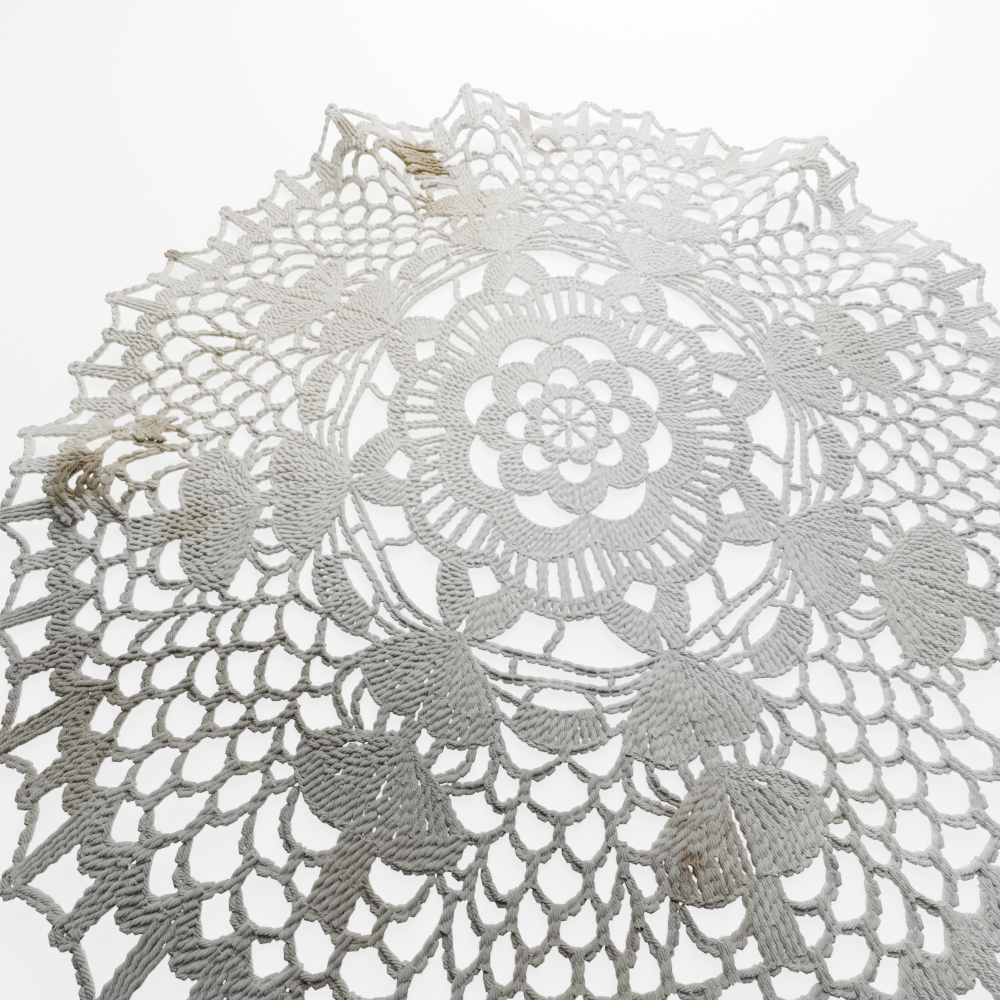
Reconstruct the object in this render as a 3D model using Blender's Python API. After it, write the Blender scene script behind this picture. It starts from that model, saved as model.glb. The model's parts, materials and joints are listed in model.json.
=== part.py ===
"""Crocheted lace doily, about 300 mm across: one thin cotton sheet of eight like sections.

The sheet is drawn flat, with its scalloped rim and its larger gaps, and is then laid as it lies in
use: each leaf a little out of true, and the rim curled up in soft folds. Metres, +Z up, origin at
the middle of the box at the surface that the doily rests on. The rosette lies flat on that surface.
"""
import math

import bmesh
import bpy
import numpy as np
from mathutils import Vector
from mathutils.geometry import delaunay_2d_cdt

MM = 0.001                  # the chart below is in millimetres and degrees

# The whole sheet
SECTIONS = 8                # leaves round the rosette
SECTION = 360 / SECTIONS    # degrees from one leaf to the next
FIRST_LEAF = 243            # degrees from +X to the first leaf
THICKNESS = 2.0             # two cotton threads crossing
COTTON = (0.60, 0.585, 0.545, 1.0)
COTTON_ROUGHNESS = 0.95

# Radii where the laid shape is known, from the middle out: shell round, roots and ends of the
# leaves, rim
SHELL_RADIUS = 31.0
ROOT_RADIUS = 62.5
LEAF_RADIUS = 108.0
RIM_RADIUS = 131.0

# Rim: shells of long stitches, with a leg and a shorter knob in turn at the joints between them
SHELLS = 8                  # shells in a section
SHELL_TOP = 140.8
SHELL_SHOULDER = 139.6
SHOULDER_TURN = 1.4         # degrees from the middle of a shell to its shoulder
JOINT_FOOT = 137.0          # where a leg or a knob leaves the shells
LEG_TIP = 150.4
KNOB_TIP = 144.6
TIP_ROUND = 2.4             # mm back from a tip to its full width
FOOT_HALF_WIDTH = 2.6
TIP_HALF_WIDTH = 1.5

# Gaps that each section has once. turn: degrees from the leaf's axis; radius: to the gap's middle;
# wide: degrees; tall: mm; square: 1 for a diamond, 2 for an ellipse, 4 for a box; lean: degrees
# that the gap turns from its inner to its outer side; points: corners of its outline
GAP_COLUMNS = ("turn", "radius", "wide", "tall", "square", "lean", "points")
GAPS = (
    (-12.0, 15.6, 34.0, 4.4, 2.0, 0.0, 8),      # behind a petal of the middle flower
    (14.0, 27.2, 40.0, 7.4, 1.6, 0.0, 10),      # behind a shell of the second round
    (9.5, 41.4, 8.5, 8.6, 2.4, 1.0, 6),         # between the bars that carry the scalloped band
    (32.0, 40.6, 9.0, 7.4, 2.4, -1.0, 6),
    (0.0, 49.0, 12.0, 9.8, 1.3, 0.0, 8),        # inside the arch that carries a leaf
    (13.0, 56.6, 12.5, 8.8, 3.2, -3.0, 8),      # beside the arches
    (30.5, 56.4, 14.0, 12.0, 3.2, 2.0, 8),
)

# Rows of net, from the leaf roots out. middle: degrees from the leaf's axis to the row's middle
NET_COLUMNS = ("radius", "middle", "cells", "pitch", "tall")
NET = (
    (81.0, 22.5, 2, 8.6, 8.4),
    (92.0, 22.5, 4, 7.3, 8.6),
    (103.0, 22.5, 3, 7.9, 8.6),
    (114.0, 22.5, 5, 7.9, 8.6),
    (125.0, 22.5, 8, 5.625, 8.0),
    (133.2, 22.5, 8, 5.625, 6.0),
)
CHAIN = 2.9                 # width of the cord left between two cells of the net
CELL_SHOULDER = 0.30        # where a cell's straight sides end, as a share of its height

# Points inside each solid leaf: mm from the middle, and degrees to both sides of the leaf's axis
LEAF_RIBS = ((64.0, 10.5), (69.0, 0.0), (71.0, 7.5), (74.0, 15.0), (77.5, 0.0), (80.5, 7.5), (86.5, 3.5),
             (87.5, 11.5), (94.0, 0.0), (97.0, 5.0), (103.5, 0.0), (107.5, 6.0), (111.0, 0.0))

EDGE = 0                    # the first outline is the sheet's edge, and the others are gaps
INSIDE_EDGES = 1            # keep only triangles inside the edge
WELD = 0.001

# How the sheet lies. Each leaf's turn from its even place, in degrees, and its reach as a share of
# the even radius, at the shell round, at the leaf's root, at its end and at the rim
LEAF_COLUMNS = ("shell_reach", "root_turn", "root_reach", "leaf_reach", "rim_turn", "rim_reach")
LEAVES = (
    (1.030, 2.4, 1.044, 1.026, 3.5, 1.050),
    (1.030, 2.4, 1.048, 1.040, 1.0, 1.040),
    (0.970, -0.8, 0.997, 0.998, 3.0, 1.020),
    (0.945, -0.5, 1.001, 0.925, 1.5, 0.990),
    (0.985, 2.8, 0.988, 0.855, 4.0, 0.935),
    (1.030, -0.7, 1.067, 0.892, 3.0, 0.935),
    (1.000, -2.5, 0.986, 0.908, 4.0, 0.920),
    (0.985, 0.4, 0.996, 0.978, 1.0, 1.000),
)

# Folds of the rim, which stands up from the surface. turn: degrees from +X; half_width: degrees;
# start: mm from the middle; height: mm at the rim
FOLD_COLUMNS = ("turn", "half_width", "start", "height")
FOLDS = (
    (28.0, 9.0, 112.0, 4.5),
    (51.0, 10.0, 92.0, 12.0),
    (82.0, 11.0, 112.0, 3.0),
    (104.0, 9.0, 108.0, 9.0),
    (125.0, 10.0, 96.0, 12.5),
    (166.0, 13.0, 104.0, 6.0),
    (190.0, 9.0, 100.0, 7.0),
    (229.0, 15.0, 108.0, 6.5),
    (276.0, 16.0, 110.0, 4.0),
    (322.0, 17.0, 108.0, 5.0),
)


def table(columns, rows):
    """Turn rows of numbers into one array for each named column."""
    return {name: np.array(values, dtype=float) for name, values in zip(columns, zip(*rows))}


def smooth_step(value):
    """Rise from 0 to 1 with no corner at either end."""
    value = np.clip(value, 0.0, 1.0)
    return value * value * (3.0 - 2.0 * value)


def round_table(values, turn):
    """Read a column with one value for each leaf at any angle, along a smooth closed curve."""
    place = ((turn - FIRST_LEAF) / SECTION) % SECTIONS
    leaf = np.floor(place).astype(int)
    part = place - leaf
    before, here, after, beyond = (values[(leaf + step) % SECTIONS] for step in (-1, 0, 1, 2))
    straight = after - before
    bend = 2.0 * before - 5.0 * here + 4.0 * after - beyond
    twist = 3.0 * (here - after) + beyond - before
    return here + 0.5 * part * (straight + part * (bend + part * twist))


def lift(radius, turn):
    """Height of the underside above the surface, in mm, from the folds of the rim."""
    folds = table(FOLD_COLUMNS, FOLDS)
    height = np.zeros_like(radius)
    for middle, half_width, start, top in zip(*(folds[name] for name in FOLD_COLUMNS)):
        away = (turn - middle + 180.0) % 360.0 - 180.0
        across = smooth_step(1.0 - np.abs(away) / half_width)
        height += top * across * smooth_step((radius - start) / (RIM_RADIUS - start))
    return height


def lay(points):
    """Move the flat chart's points, in mm, to where they lie: the leaves' turns, reaches and folds."""
    x, y, z = points.T
    radius = np.hypot(x, y)
    turn = np.degrees(np.arctan2(y, x))
    leaf = {name: round_table(values, turn) for name, values in table(LEAF_COLUMNS, LEAVES).items()}
    from_shell = smooth_step((radius - SHELL_RADIUS) / (ROOT_RADIUS - SHELL_RADIUS))
    from_root = smooth_step((radius - ROOT_RADIUS) / (RIM_RADIUS - ROOT_RADIUS))
    to_leaf = np.clip((radius - ROOT_RADIUS) / (LEAF_RADIUS - ROOT_RADIUS), 0.0, 1.0)
    to_rim = np.clip((radius - LEAF_RADIUS) / (RIM_RADIUS - LEAF_RADIUS), 0.0, 1.0)
    reach = leaf["shell_reach"] + from_shell * (leaf["root_reach"] - leaf["shell_reach"])
    reach += to_leaf * (leaf["leaf_reach"] - leaf["root_reach"])
    reach += to_rim * (leaf["rim_reach"] - leaf["leaf_reach"])
    reach = 1.0 + smooth_step(radius / SHELL_RADIUS) * (reach - 1.0)
    swing = from_shell * leaf["root_turn"] + from_root * (leaf["rim_turn"] - leaf["root_turn"])
    angle = np.radians(turn + swing)
    height = z + 0.5 * THICKNESS + lift(radius, turn + swing)
    return np.column_stack((radius * reach * np.cos(angle), radius * reach * np.sin(angle), height))


def on_chart(radius, turn):
    """A point of the flat chart, in mm: turn is in degrees from +X."""
    return radius * math.cos(math.radians(turn)), radius * math.sin(math.radians(turn))


def gap(axis, turn, radius, wide, tall, square, lean, points):
    """Outline of one gap: a rounded shape that follows the rounds of the doily."""
    corners = []
    for step in range(points):
        around = 2.0 * math.pi * (step + 0.5) / points + 0.5 * math.pi
        across = math.copysign(abs(math.cos(around)) ** (2.0 / square), math.cos(around))
        outward = math.copysign(abs(math.sin(around)) ** (2.0 / square), math.sin(around))
        shift = 0.5 * (wide * across + lean * outward)
        corners.append(on_chart(radius + 0.5 * tall * outward, axis + turn + shift))
    return corners


def net_row(axis, radius, middle, cells, pitch, tall):
    """Outlines of one row of net cells: hexagons with a point inwards and a point outwards."""
    half = 0.5 * (pitch - math.degrees(CHAIN / radius))
    shoulder = CELL_SHOULDER * tall
    corners = ((0.0, 0.5 * tall), (-half, shoulder), (-half, -shoulder),
               (0.0, -0.5 * tall), (half, -shoulder), (half, shoulder))
    outlines = []
    for cell in range(cells):
        turn = axis + middle + (cell - 0.5 * (cells - 1)) * pitch
        outlines.append([on_chart(radius + up, turn + across) for across, up in corners])
    return outlines


def spur(joint, tip):
    """Outline of the leg or knob that stands out from a joint between two shells."""
    foot = math.degrees(FOOT_HALF_WIDTH / JOINT_FOOT)
    side = math.degrees(TIP_HALF_WIDTH / tip)
    round_end = tip - TIP_ROUND
    shape = ((JOINT_FOOT, -foot), (round_end, -side), (tip, 0.0), (round_end, side), (JOINT_FOOT, foot))
    return [on_chart(radius, joint + across) for radius, across in shape]


def rim(first_turn):
    """One section of the outer edge: eight shells, with a leg or a knob at every joint."""
    pitch = SECTION / SHELLS
    corners = []
    for shell in range(SHELLS):
        joint = first_turn + shell * pitch
        corners += spur(joint, KNOB_TIP if shell % 2 else LEG_TIP)
        middle = joint + 0.5 * pitch
        corners.append(on_chart(SHELL_SHOULDER, middle - SHOULDER_TURN))
        corners.append(on_chart(SHELL_TOP, middle))
        corners.append(on_chart(SHELL_SHOULDER, middle + SHOULDER_TURN))
    return corners


def chart():
    """Every outline of the flat sheet, in mm: first its edge, then its gaps."""
    edge = []
    gaps = []
    for section in range(SECTIONS):
        axis = FIRST_LEAF + section * SECTION
        edge += rim(axis)
        for row in GAPS:
            gaps.append(gap(axis, **dict(zip(GAP_COLUMNS, row))))
        for row in NET:
            gaps += net_row(axis, **dict(zip(NET_COLUMNS, row)))
    return [edge] + gaps


def leaf_points():
    """Points inside the solid leaves, so that they can bend with the folds."""
    inside = []
    for section in range(SECTIONS):
        axis = FIRST_LEAF + section * SECTION
        for radius, across in LEAF_RIBS:
            turns = (0.0,) if across == 0.0 else (-across, across)
            inside += [on_chart(radius, axis + turn) for turn in turns]
    return inside


def flat_sheet(name, outlines, inside):
    """The flat sheet as a closed body, filled between its edge and its gaps.

    A filled curve would leave slivers from the rosette to the rim, which crease when the sheet is
    laid. Delaunay triangles through the same outlines stay near even, and bend softly.
    """
    points = []
    edges = []
    outline_of = []
    for number, outline in enumerate(outlines):
        first = len(points)
        points += outline
        outline_of += [number] * len(outline)
        edges += [(first + step, first + (step + 1) % len(outline)) for step in range(len(outline))]
    points += inside
    outline_of += [EDGE] * len(inside)
    flat = [Vector(point) * MM for point in points]
    filled = delaunay_2d_cdt(flat, edges, [], INSIDE_EDGES, WELD * MM)
    kept = []
    for triangle in filled[2]:
        owners = {outline_of[filled[3][corner][0]] for corner in triangle}
        if len(owners) > 1 or EDGE in owners:
            kept.append(triangle)
    mesh = bpy.data.meshes.new(name)
    mesh.from_pydata([(x, y, -0.5 * THICKNESS * MM) for x, y in filled[0]], [], kept)
    shape = bmesh.new()
    shape.from_mesh(mesh)
    upper = bmesh.ops.extrude_face_region(shape, geom=list(shape.faces))["geom"]
    upper = [thing for thing in upper if isinstance(thing, bmesh.types.BMVert)]
    bmesh.ops.translate(shape, verts=upper, vec=(0.0, 0.0, THICKNESS * MM))
    bmesh.ops.triangulate(shape, faces=shape.faces)
    bmesh.ops.recalc_face_normals(shape, faces=shape.faces)
    shape.to_mesh(mesh)
    shape.free()
    return bpy.data.objects.new(name, mesh)


def lay_down(sheet):
    """Move the flat sheet's points to where they lie, with the middle of its box over the origin."""
    mesh = sheet.data
    points = np.empty(3 * len(mesh.vertices))
    mesh.vertices.foreach_get("co", points)
    laid = lay(points.reshape(-1, 3) / MM)
    middle = 0.5 * (laid.min(axis=0) + laid.max(axis=0))
    laid[:, :2] -= middle[:2]
    mesh.vertices.foreach_set("co", (laid * MM).ravel())
    mesh.update()
    print(f"rosette middle at {-middle[0] * MM:.5f}, {-middle[1] * MM:.5f} m")


def cotton():
    """Plain ecru cotton."""
    material = bpy.data.materials.new("ecru_cotton")
    material.use_nodes = True
    shader = material.node_tree.nodes["Principled BSDF"]
    shader.inputs["Base Color"].default_value = COTTON
    shader.inputs["Roughness"].default_value = COTTON_ROUGHNESS
    shader.inputs["Metallic"].default_value = 0.0
    return material


def main():
    for thing in list(bpy.data.objects):
        bpy.data.objects.remove(thing)
    parts = bpy.data.collections.new("lace_doily")
    bpy.context.scene.collection.children.link(parts)
    outlines = chart()
    doily = flat_sheet("doily", outlines, leaf_points())
    lay_down(doily)
    doily.data.materials.append(cotton())
    parts.objects.link(doily)
    box = ", ".join(f"{size * 1000:.1f}" for size in doily.dimensions)
    print(f"{len(outlines) - 1} gaps, {len(doily.data.polygons)} triangles, {box} mm")


main()
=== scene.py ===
# %% [markdown]
# # A crocheted lace doily
# The real doily is one cotton thread, worked in rounds from the middle out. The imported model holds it
# as one thin sheet with its larger gaps cut through. A bumpy copy of that sheet would be the quick way
# to dress it, but crochet shows its thread from a step away. So every stitch is laid here as thread,
# on the same chart, and the same bending takes the chart to the shape in which it lies.

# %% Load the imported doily
import json
import math

import bpy
import numpy as np
from mathutils import Matrix, Vector


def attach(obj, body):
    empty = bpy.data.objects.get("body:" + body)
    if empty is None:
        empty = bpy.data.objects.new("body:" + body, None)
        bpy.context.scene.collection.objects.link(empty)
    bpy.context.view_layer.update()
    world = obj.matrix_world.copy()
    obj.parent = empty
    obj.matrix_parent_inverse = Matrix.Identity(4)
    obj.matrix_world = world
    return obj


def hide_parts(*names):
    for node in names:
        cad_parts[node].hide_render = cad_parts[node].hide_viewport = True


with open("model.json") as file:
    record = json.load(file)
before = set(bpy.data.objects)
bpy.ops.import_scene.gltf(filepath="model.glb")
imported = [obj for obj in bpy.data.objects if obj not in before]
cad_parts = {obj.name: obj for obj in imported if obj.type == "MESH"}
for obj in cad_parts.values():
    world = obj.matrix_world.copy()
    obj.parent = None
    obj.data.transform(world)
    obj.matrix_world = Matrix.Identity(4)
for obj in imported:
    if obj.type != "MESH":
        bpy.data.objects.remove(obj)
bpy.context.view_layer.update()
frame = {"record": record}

# %% [markdown]
# ## How the sheet lies
# The doily is worked as eight like sections, but it lies unevenly: each leaf is pulled a little out
# of true, and the rim curls up in soft folds. Cloth simulation could drop it on a table, but it would
# not land as this one lies, so the leaves and the folds are short tables. They are the same as those
# of the solid, so the thread follows its surface. The chart is in millimetres, and turns are in
# degrees from +X.

# %% The chart's driving sizes
MM = 0.001                  # in metres
SECTIONS = 8
SECTION = 360 / SECTIONS    # degrees
FIRST_LEAF = 243            # degrees from +X to the first leaf's axis
THICKNESS = 2.0             # of the solid sheet
SHELL_RADIUS = 31.0
ROOT_RADIUS = 62.5          # where the leaves start
LEAF_RADIUS = 108.0         # where they end
RIM_RADIUS = 131.0
rosette_middle = np.array(frame["record"]["mounts"][0]["pos_m"]) / MM
print("middle of the rosette, mm:", rosette_middle.round(2))

# %% Each leaf's turn and reach, and the folds of the rim
LEAF_COLUMNS = ("shell_reach", "root_turn", "root_reach", "leaf_reach", "rim_turn", "rim_reach")
LEAVES = (
    (1.030, 2.4, 1.044, 1.026, 3.5, 1.050),
    (1.030, 2.4, 1.048, 1.040, 1.0, 1.040),
    (0.970, -0.8, 0.997, 0.998, 3.0, 1.020),
    (0.945, -0.5, 1.001, 0.925, 1.5, 0.990),
    (0.985, 2.8, 0.988, 0.855, 4.0, 0.935),
    (1.030, -0.7, 1.067, 0.892, 3.0, 0.935),
    (1.000, -2.5, 0.986, 0.908, 4.0, 0.920),
    (0.985, 0.4, 0.996, 0.978, 1.0, 1.000),
)
FOLD_COLUMNS = ("turn", "half_width", "start", "height")
FOLDS = (
    (28.0, 9.0, 112.0, 4.5),
    (51.0, 10.0, 92.0, 12.0),
    (82.0, 11.0, 112.0, 3.0),
    (104.0, 9.0, 108.0, 9.0),
    (125.0, 10.0, 96.0, 12.5),
    (166.0, 13.0, 104.0, 6.0),
    (190.0, 9.0, 100.0, 7.0),
    (229.0, 15.0, 108.0, 6.5),
    (276.0, 16.0, 110.0, 4.0),
    (322.0, 17.0, 108.0, 5.0),
)
print(len(LEAVES), "leaves and", len(FOLDS), "folds")


def table(columns, rows):
    """A table as one array for each of its columns."""
    return {name: np.array(values, dtype=float) for name, values in zip(columns, zip(*rows))}


def named_rows(columns, rows):
    """A table as rows whose values have their columns' names."""
    return [dict(zip(columns, row)) for row in rows]


# %% Lay chart points where they lie
def smooth_step(value):
    value = np.clip(value, 0.0, 1.0)
    return value * value * (3.0 - 2.0 * value)


def round_table(values, turn):
    """Read a column with one value for each leaf at any angle, along a smooth closed curve."""
    place = ((turn - FIRST_LEAF) / SECTION) % SECTIONS
    leaf = np.floor(place).astype(int)
    part = place - leaf
    before, here, after, beyond = (values[(leaf + step) % SECTIONS] for step in (-1, 0, 1, 2))
    straight = after - before
    bend = 2.0 * before - 5.0 * here + 4.0 * after - beyond
    twist = 3.0 * (here - after) + beyond - before
    return here + 0.5 * part * (straight + part * (bend + part * twist))


def lift(radius, turn):
    folds = table(FOLD_COLUMNS, FOLDS)
    height = np.zeros_like(radius)
    for middle, half_width, start, top in zip(*(folds[name] for name in FOLD_COLUMNS)):
        away = (turn - middle + 180.0) % 360.0 - 180.0
        across = smooth_step(1.0 - np.abs(away) / half_width)
        height += top * across * smooth_step((radius - start) / (RIM_RADIUS - start))
    return height


def lay(points):
    """Chart points in mm, with z from the sheet's middle, to where they lie, in metres."""
    x, y, z = points.T
    radius = np.hypot(x, y)
    turn = np.degrees(np.arctan2(y, x))
    leaf = {name: round_table(values, turn) for name, values in table(LEAF_COLUMNS, LEAVES).items()}
    from_shell = smooth_step((radius - SHELL_RADIUS) / (ROOT_RADIUS - SHELL_RADIUS))
    from_root = smooth_step((radius - ROOT_RADIUS) / (RIM_RADIUS - ROOT_RADIUS))
    to_leaf = np.clip((radius - ROOT_RADIUS) / (LEAF_RADIUS - ROOT_RADIUS), 0.0, 1.0)
    to_rim = np.clip((radius - LEAF_RADIUS) / (RIM_RADIUS - LEAF_RADIUS), 0.0, 1.0)
    reach = leaf["shell_reach"] + from_shell * (leaf["root_reach"] - leaf["shell_reach"])
    reach += to_leaf * (leaf["leaf_reach"] - leaf["root_reach"])
    reach += to_rim * (leaf["rim_reach"] - leaf["leaf_reach"])
    reach = 1.0 + smooth_step(radius / SHELL_RADIUS) * (reach - 1.0)
    swing = from_shell * leaf["root_turn"] + from_root * (leaf["rim_turn"] - leaf["root_turn"])
    angle = np.radians(turn + swing)
    height = z + 0.5 * THICKNESS + lift(radius, turn + swing)
    laid = np.column_stack((radius * reach * np.cos(angle), radius * reach * np.sin(angle), height))
    laid[:, :2] += rosette_middle[:2]
    return laid * MM


# %% [markdown]
# ## Thread and stitches
# A chain stitch is a loop of thread pulled through the last loop: its thread runs up one side of the
# cord, round the head and down the other, then under the next one. One table gives that path, and
# every cord of the lace repeats it along its own line. A long stitch, or post, is thread wrapped
# round itself, so it shows as two strands that twist from its foot to its head. A bump map could fake
# either, but only real strands leave the small holes and the ragged edge of crochet. Small seeded
# shifts keep the stitches from looking stamped.

# %% Sizes of the thread and its stitches
THREAD_RADIUS = 0.70        # mm, with the loose fibres round the thread
THREAD_SIDES = 5
CHAIN_PITCH = 2.7           # from one chain stitch to the next
CHAIN_HALF = 1.0            # from the cord's middle to the middle of its outer thread
CHAIN_DEPTH = 0.36
LOOP_COLUMNS = ("along", "side", "depth")    # in stitches, half widths and depths
LOOP = (
    (0.05, 0.20, -0.4),
    (0.50, 0.92, 0.9),
    (1.15, 0.80, 0.2),
    (1.32, 0.00, -0.6),
    (1.15, -0.80, 0.2),
    (0.50, -0.92, 0.9),
    (0.05, -0.20, -0.5),
    (0.55, 0.00, -1.2),
)
END_WIDTH = 0.45            # share of its width that a cord has at its ends
END_TAPER = 0.9             # stitches over which it reaches its full width
SOFTENED = 0.25             # how far a corner of a stitch is drawn towards its neighbours
REACH_STRAY = 0.08          # stitches that one starts early or late
WIDTH_STRAY = (0.90, 1.08)  # share of a stitch's width
CORD_ROLL = 0.5             # how far a cord turns about its own line, in radians
ROLL_PACE = (0.5, 1.1)      # radians for each stitch
ANY_TURN = (0, 6.3)         # radians, about a full turn
SLIM_HALF = 0.75            # the same as CHAIN_HALF, for a cord that is pulled tight
HEAD_HALF = 0.8 * CHAIN_HALF
HEAD_PITCH = 2.3            # the same as CHAIN_PITCH, for the chain on the heads of posts
POST_HALF = 0.47
FULL_POST_HALF = 0.54       # for posts that fill their row
POST_DEPTH = 0.36
POST_TWIST = 4.8            # length of one full turn of a post's two strands
POST_START = (0.6, 0.5)     # radians: where a post's twist starts, and how much that varies
POST_STEPS = 8
POST_OVERLAP = 0.9          # how far a post's foot reaches over the row before
LINE_STEP = 0.3             # spacing of the points on a smooth line
UNEVEN = 0.18               # how far a stitch strays
ROW_LAYER = 0.1             # mm that a row of posts lies above the sheet's middle
LAYER_STRAY = (-0.1, 0.2)   # mm up or down
LOWEST = THREAD_RADIUS - 0.5 * THICKNESS
SEED = 8

chance = np.random.default_rng(SEED)
thread = {name: [] for name in ("rosette", "arches", "leaves", "net", "ties", "shells", "legs")}
print("thread, mm:", 2 * THREAD_RADIUS, "and a chain of it:", 2 * (CHAIN_HALF + THREAD_RADIUS))


# %% Lines on the chart
def at(turn, radius):
    """A point of the chart: turn in degrees from +X, radius in mm."""
    angle = math.radians(turn)
    return np.array((radius * math.cos(angle), radius * math.sin(angle)))


def line_at(axis, points):
    return [at(axis + turn, radius) for turn, radius in points]


def through(points):
    """A smooth line through a few points: closely spaced points and their distance along it."""
    points = np.array(points, dtype=float)
    ends = np.vstack((2 * points[0] - points[1], points, 2 * points[-1] - points[-2]))
    parts = []
    for before, here, after, beyond in zip(ends, ends[1:], ends[2:], ends[3:]):
        count = max(2, int(np.linalg.norm(after - here) / LINE_STEP))
        t = np.linspace(0.0, 1.0, count, endpoint=False)[:, None]
        bend = 2 * before - 5 * here + 4 * after - beyond
        twist = 3 * (here - after) + beyond - before
        parts.append(here + 0.5 * t * ((after - before) + t * (bend + t * twist)))
    line = np.vstack(parts + [points[-1:]])
    run = np.concatenate(([0.0], np.cumsum(np.linalg.norm(np.diff(line, axis=0), axis=1))))
    return line, run


def along(line, run, distance):
    """Points at given distances along a line, and the line's left-hand side there."""
    spots = np.column_stack([np.interp(distance, run, line[:, axis]) for axis in (0, 1)])
    slope = np.gradient(line, axis=0)
    slope /= np.linalg.norm(slope, axis=1)[:, None]
    left = np.column_stack((-slope[:, 1], slope[:, 0]))
    side = np.column_stack([np.interp(distance, run, left[:, axis]) for axis in (0, 1)])
    return spots, side


def keep(piece, spots, height):
    """Add a run of thread that never lies lower than the table."""
    thread[piece].append(np.column_stack((spots, np.maximum(height, LOWEST))))


# %% A chain of stitches and a post
def chain(piece, points, layer=0.0, stitches=None, half=CHAIN_HALF):
    """Chain stitches along the smooth line through the points."""
    line, run = through(points)
    count = stitches or max(1, round(run[-1] / CHAIN_PITCH))
    step = run[-1] / count
    stitch = table(LOOP_COLUMNS, LOOP)
    reach, side_share, depth = (np.tile(stitch[name], count) for name in LOOP_COLUMNS)
    reach += np.repeat(np.arange(count) + chance.uniform(-REACH_STRAY, REACH_STRAY, count), len(LOOP))
    spots, side = along(line, run, np.clip(step * reach, 0.0, run[-1]))
    ends = np.clip(np.minimum(reach, count - reach) / END_TAPER, END_WIDTH, 1.0)
    across = half * side_share * ends * chance.uniform(*WIDTH_STRAY, reach.size)
    up = CHAIN_DEPTH * depth
    roll = CORD_ROLL * np.sin(reach * chance.uniform(*ROLL_PACE) + chance.uniform(*ANY_TURN))
    spots += (across * np.cos(roll) - up * np.sin(roll))[:, None] * side
    path = np.column_stack((spots, layer + across * np.sin(roll) + up * np.cos(roll)))
    path[1:-1] += SOFTENED * (path[:-2] + path[2:] - 2 * path[1:-1])
    keep(piece, path[:, :2], path[:, 2])


def post(piece, foot, head, layer=0.0, half=POST_HALF, hand=1):
    """One long stitch: two strands that twist round each other from foot to head."""
    reach = head - foot
    length = np.linalg.norm(reach)
    side = np.array((-reach[1], reach[0])) / length
    part = np.linspace(0.0, 1.0, POST_STEPS)
    start = chance.normal(*POST_START)
    for strand in (0.0, math.pi):
        turn = hand * (start + strand + 2 * np.pi * length / POST_TWIST * part)
        spots = foot + part[:, None] * reach + (half * np.cos(turn))[:, None] * side
        keep(piece, spots, layer + hand * POST_DEPTH * np.sin(turn))


def row(piece, feet, heads, count, layer=ROW_LAYER, edge=True, half=POST_HALF,
        overlap=POST_OVERLAP, stray=UNEVEN):
    """A row of posts between two lines, with the heads' chain along the second."""
    foot_line, foot_run = through(feet)
    head_line, head_run = through(heads)
    share = (np.arange(count) + 0.5) / count
    low, _ = along(foot_line, foot_run, share * foot_run[-1])
    high, _ = along(head_line, head_run, share * head_run[-1])
    low += chance.uniform(-stray, stray, low.shape)
    high += chance.uniform(-stray, stray, high.shape)
    for number, (foot, head) in enumerate(zip(low, high)):
        start = foot - overlap * (head - foot) / np.linalg.norm(head - foot)
        post(piece, start, head, layer + chance.uniform(*LAYER_STRAY), half, hand=1 - 2 * (number % 2))
    if edge:
        chain(piece, heads, layer, stitches=max(1, round(head_run[-1] / HEAD_PITCH)), half=HEAD_HALF)


# %% [markdown]
# ## The rosette
# Eight spokes from one point, a round of small petals on them, a round of chain loops filled with
# larger petals, and a round of longer loops filled with shells. Short bars then carry a scalloped
# band, and from each low point of the band an arch of posts gathers to the root of a leaf. One
# section could be made and copied with an Array, but then all eight would be alike to the last
# stitch. Here each round is a function of the section's own angle, and a loop over the sections calls
# it, so each section gets its own small shifts.

# %% The middle: spokes and small petals
SPOKE = 26.5                # degrees from a leaf's axis to a spoke
SPOKE_ENDS = (0.9, 8.4)
SMALL_FEET = ((1, 8.4), (12, 9.0), (22.5, 9.2), (33, 9.0), (44, 8.4))
SMALL_HEADS = ((2, 10.8), (12, 12.2), (22.5, 12.6), (33, 12.2), (43, 10.8))
SMALL_STITCHES = 3
SMALL_POSTS = 6
SMALL_OVERLAP = 0.3


def small_petals(axis):
    spoke = axis + SPOKE
    foot, head = (at(spoke, radius) for radius in SPOKE_ENDS)
    post("rosette", foot, head, half=FULL_POST_HALF)
    feet = line_at(spoke, SMALL_FEET)
    chain("rosette", feet, stitches=SMALL_STITCHES)
    row("rosette", feet, line_at(spoke, SMALL_HEADS), SMALL_POSTS, overlap=SMALL_OVERLAP)


# %% The large petals and the shells, each on its round of chain loops
HALF_SECTION = 0.5 * SECTION
PETAL = -12.0               # degrees from a leaf's axis to the middle of a large petal
PETAL_POSTS = 12
STAY_ENDS = (12.4, 15.6)    # the post between two large petals
PETAL_FEET = ((-22.5, 14.2), (-17, 16.8), (-9, 18.7), (0, 19.3), (9, 18.7), (17, 16.8), (22.5, 14.2))
PETAL_HEADS = ((-22, 20.2), (-15, 23.2), (-5, 25.4), (0, 25.8), (5, 25.4), (15, 23.2), (22, 20.2))
SHELL = 13.0                # degrees from a leaf's axis to the middle of a shell
SHELL_POSTS = 18
SHELL_FEET = ((-22.5, 27.0), (-15, 29.8), (-7, 31.5), (0, 31.9), (7, 31.5), (15, 29.8), (22.5, 27.0))
SHELL_HEADS = ((-22, 34.0), (-15, 36.4), (-7, 38.4), (0, 38.9), (7, 38.4), (15, 36.4), (22, 34.0))


def large_petal(axis):
    middle = axis + PETAL
    foot, head = (at(middle - HALF_SECTION, radius) for radius in STAY_ENDS)
    post("rosette", foot, head)
    feet = line_at(middle, PETAL_FEET)
    chain("rosette", feet)
    row("rosette", feet, line_at(middle, PETAL_HEADS), PETAL_POSTS)


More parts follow.
